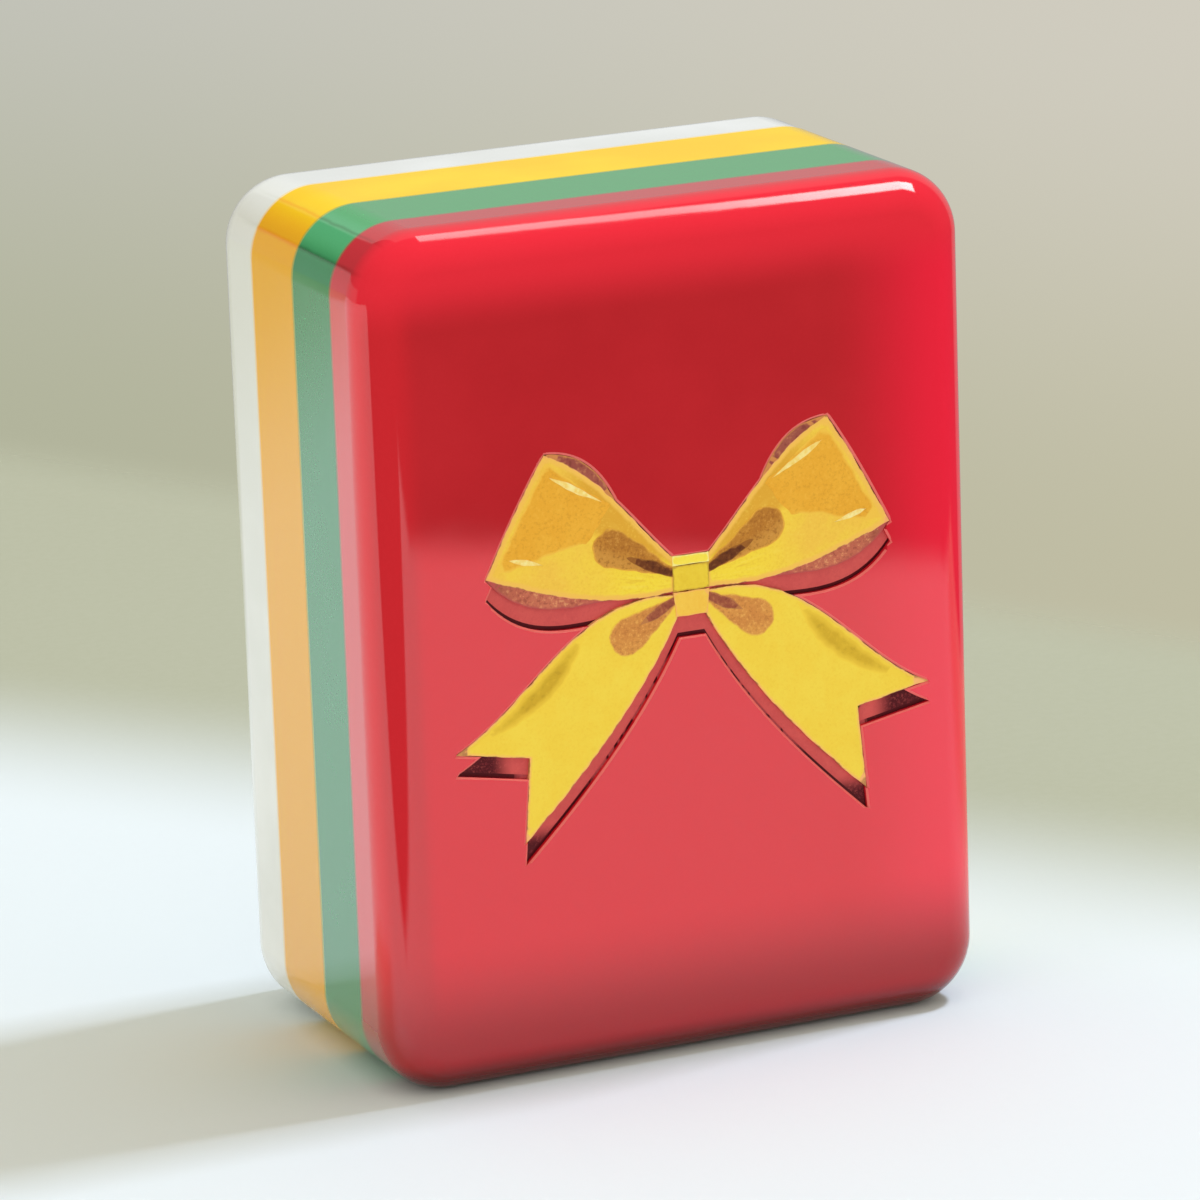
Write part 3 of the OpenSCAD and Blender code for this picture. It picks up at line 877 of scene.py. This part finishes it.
def floor_finish():
    """Pale paper with a painted pool of light, clear behind the tile, and in front clear to all but the camera where
    the face mirrors the room.
    """
    f = new_finish("pale_floor")
    place = f.millimetres()
    near_side = f.along(place, TO_CAMERA)
    sideways = f.along(place, TO_RIGHT)
    # Painted light: the floor is painted dim beyond the edge of the lamp's pool of light
    painted_light_pool = (f.along(place, (-0.796, -0.605, 0)) + 19.5).rise(-10, 9)
    tooth = f.noise(place, 2.2, 3.0, 0.6)
    tone = f.mix(painted_light_pool, srgb(177, 178, 155), srgb(227, 234, 236))
    tone = f.mix(tooth.rise(0.3, 0.7) * 0.03, tone, srgb(222, 224, 218))
    paper = f.add("ShaderNodeBsdfPrincipled", None, {
        "Base Color": tone, "Roughness": 0.8, "Specular IOR Level": 0.1,
        "Normal": f.bump(tooth, 0.1, 0.03 * MM)})
    rear = (f.along(place, (-0.877, -0.481, 0)) + 49.9).rise(4, -4)
    path = f.add("ShaderNodeLightPath", out="Is Camera Ray")
    wedge = (sideways + 11 + (near_side - 26) * 1.25).least((near_side - 26) * 0.6 - (sideways + 11))
    dim = f.along(place, (0.764, -1, 0)).rise(85.5, 95.5).most(wedge.rise(-2, 5))
    hole = rear.most(dim * (1 - path))
    clear = f.add("ShaderNodeBsdfTransparent")
    return f.close(f.add("ShaderNodeMixShader", None, {0: hole, 1: paper, 2: clear}))


def make_floor():
    clear_selection()
    bpy.ops.mesh.primitive_plane_add(size=FLOOR_SIZE)
    floor = bpy.context.object
    floor.name = "floor"
    floor.data.materials.append(floor_finish())


def make_world():
    """The wall that the camera sees, the soft light of the room, and what the polish mirrors."""
    world = bpy.data.worlds.new("studio")
    bpy.context.scene.world = world
    f = Finish(world)
    way = f.add("ShaderNodeTexCoord", out="Generated")
    x, y, z = f.split(way)
    toward = f.along(way, TO_CAMERA)
    camera_ray = f.add("ShaderNodeLightPath", out="Is Camera Ray")
    glossy_ray = f.also(camera_ray, "Is Glossy Ray")
    height = z + f.along(way, TO_RIGHT) * 0.15
    rightward = f.along(way, TO_RIGHT).rise(-0.1, 0.1)
    # Painted shade on the wall that the camera sees: darker toward its foot, and a little lighter to the right
    wall = f.mix(rightward, srgb(196, 196, 187), srgb(208, 204, 191))
    shaded_wall_foot = f.mix(rightward, srgb(178, 180, 156), srgb(192, 189, 164))
    wall = f.mix(height.rise(-0.165, -0.25), wall, shaded_wall_foot)
    light = f.mix(toward.rise(-0.3, 0.5), (0.40, 0.385, 0.33, 1), (1.0, 0.965, 0.85, 1))
    light = f.mix(z.rise(0.4, 0.75), light, (0.87, 0.84, 0.72, 1))
    far_left = x.rise(-0.05, -0.08) * z.rise(0.17, 0.2)
    behind = f.mix(far_left, (0.38, 0.38, 0.37, 1), (0.1, 0.1, 0.1, 1))
    mirrored_room = f.mix(y.rise(0.3, 0.15), behind, (0.07, 0.07, 0.07, 1))
    # The softbox that the polish mirrors: a slanted strip, wider and brighter at its right end
    reach = 0.05 + x.rise(0.34, 0.38) * 0.13 + x.rise(0.415, 0.445) * 0.07
    middle = 0.25 - x.rise(0.34, 0.455) * 0.6
    softbox = z.rise(0.2, 0.4) * (reach - abs(y - middle)).rise(-0.05, 0.05) * x.band(0.345, 0.66, 0.015)
    softbox = softbox * y.rise(-0.5, -0.4)
    mirrored_room = f.mix(softbox, mirrored_room, f.mix(x.rise(0.40, 0.45), (3.5, 3.5, 3.5, 1), (11, 11, 11, 1)))
    seen = f.mix(camera_ray, f.mix(glossy_ray, light, mirrored_room), wall)
    shader = f.add("ShaderNodeBackground", None, {"Color": seen, "Strength": 1.0})
    f.close(shader, "ShaderNodeOutputWorld")


def make_lamp(name, direction, distance, size, power, colour):
    lamp = bpy.data.lights.new(name, "AREA")
    lamp.shape = "SQUARE"
    lamp.size = size
    lamp.energy = power
    lamp.color = colour
    holder = bpy.data.objects.new(name, lamp)
    holder.visible_glossy = False
    bpy.context.scene.collection.objects.link(holder)
    aim = Vector(direction).normalized()
    holder.location = Vector((0, 0, TILE_H / 2 * MM)) + aim * distance
    holder.rotation_euler = aim.to_track_quat("Z", "Y").to_euler()


def make_camera():
    data = bpy.data.cameras.new("camera")
    data.lens = CAMERA_LENS
    data.sensor_width = CAMERA_SENSOR
    data.clip_start = 0.01
    data.clip_end = 10.0
    camera = bpy.data.objects.new("camera", data)
    bpy.context.scene.collection.objects.link(camera)
    back = CAMERA_RIGHT.cross(-CAMERA_DOWN)
    turn = Matrix((CAMERA_RIGHT, -CAMERA_DOWN, back)).transposed()
    camera.matrix_world = Matrix.Translation(CAMERA_PLACE) @ turn.to_4x4()
    bpy.context.scene.camera = camera


make_camera()
make_floor()
make_world()
make_lamp("overhead_softbox", LAMP_WAY, LAMP_DISTANCE, LAMP_SIZE, LAMP_POWER, LAMP_COLOUR)
bpy.context.scene.view_settings.view_transform = "Standard"
